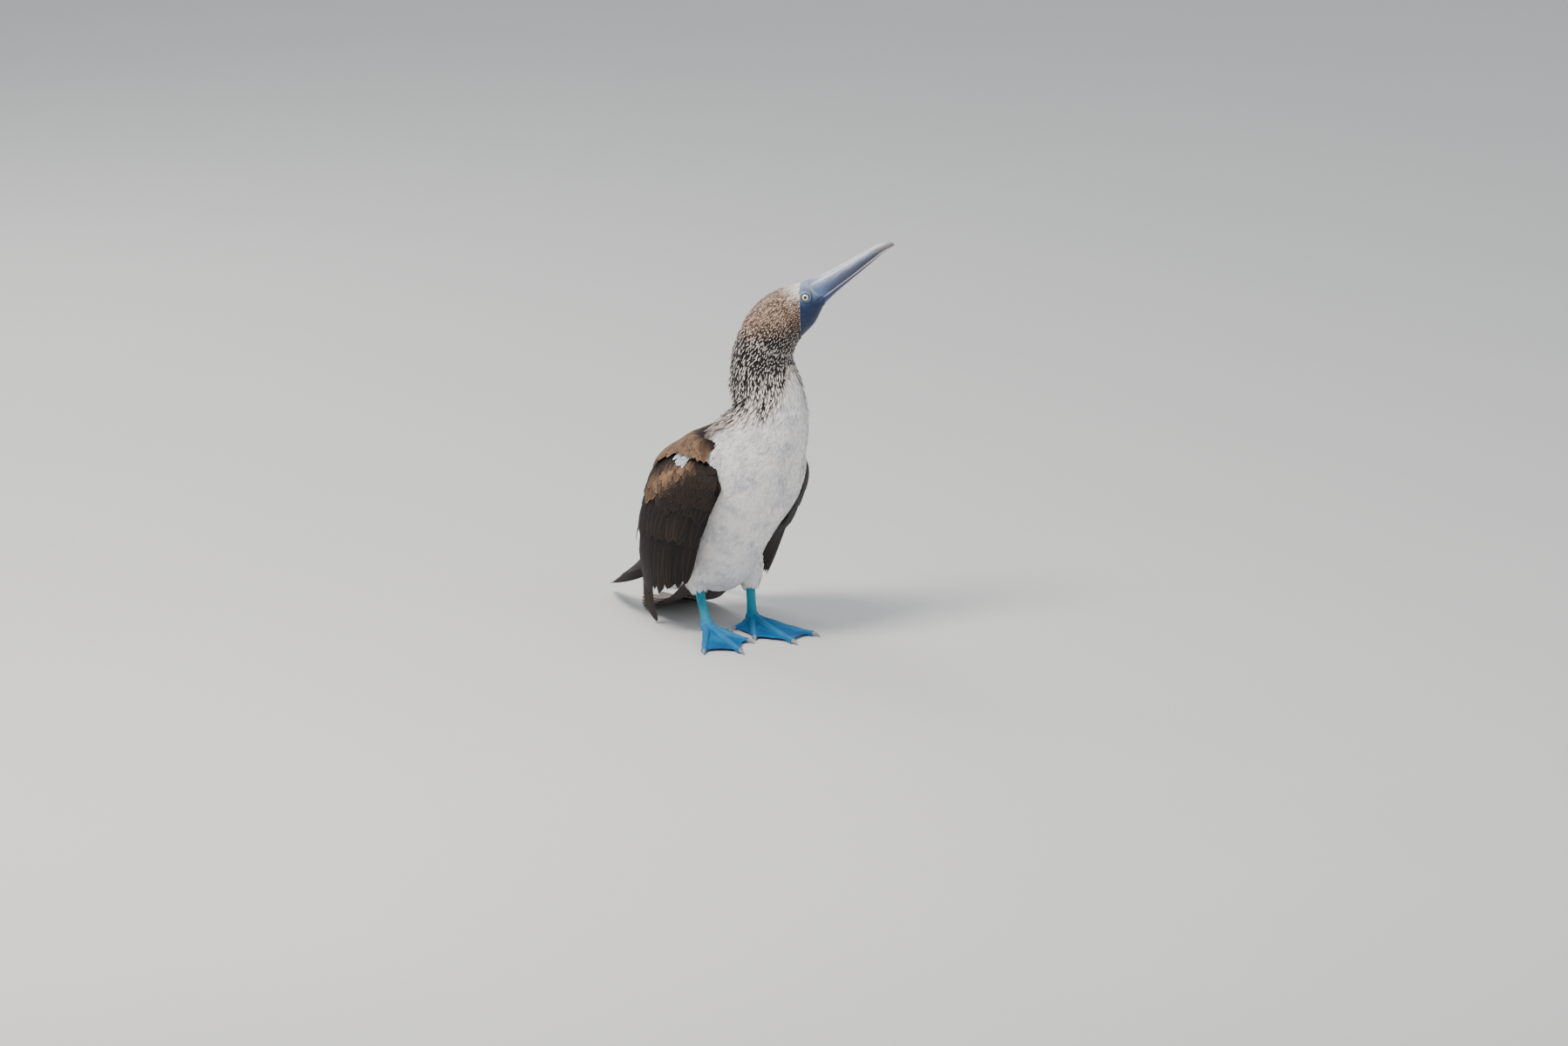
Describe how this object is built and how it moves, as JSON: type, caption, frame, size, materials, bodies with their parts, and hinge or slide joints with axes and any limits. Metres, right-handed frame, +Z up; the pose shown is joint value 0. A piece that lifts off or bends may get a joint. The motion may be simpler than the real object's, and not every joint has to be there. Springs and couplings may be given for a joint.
{
  "type": "blue-footed booby model",
  "caption": "Standing life-size blue-footed booby model with folded wings, wedge tail, webbed feet and head turned to its left with the bill raised.",
  "frame": {"origin": "middle of the bounding box on the floor that the feet stand on", "axes": "+Z up, -Y the way the breast faces, +X the bird's left side"},
  "size_m": [0.2184, 0.3546, 0.4456],
  "materials": {
    "body_white": "soft white contour feathers",
    "neck_streaked": "buff hackles streaked dark brown",
    "wing_brown": "dark brown flight feathers with paler edges",
    "bill": "blue-grey horn",
    "eye": "wet pale yellow iris round a dark pupil",
    "foot_blue": "bright blue scaled skin",
    "claw": "pale grey horn"
  },
  "bodies": {
    "root": {"torso": "body_white", "neck": "neck_streaked", "head": "neck_streaked", "eye_right": "eye", "eye_left": "eye", "bill_upper": "bill", "bill_lower": "bill", "wing_right": "wing_brown", "wing_left": "wing_brown", "tail": "wing_brown", "leg_right": "foot_blue", "leg_left": "foot_blue", "foot_right": "foot_blue", "foot_left": "foot_blue", "claw_right_1": "claw", "claw_right_2": "claw", "claw_right_3": "claw", "claw_right_4": "claw", "claw_left_1": "claw", "claw_left_2": "claw", "claw_left_3": "claw", "claw_left_4": "claw"}
  },
  "joints": []
}
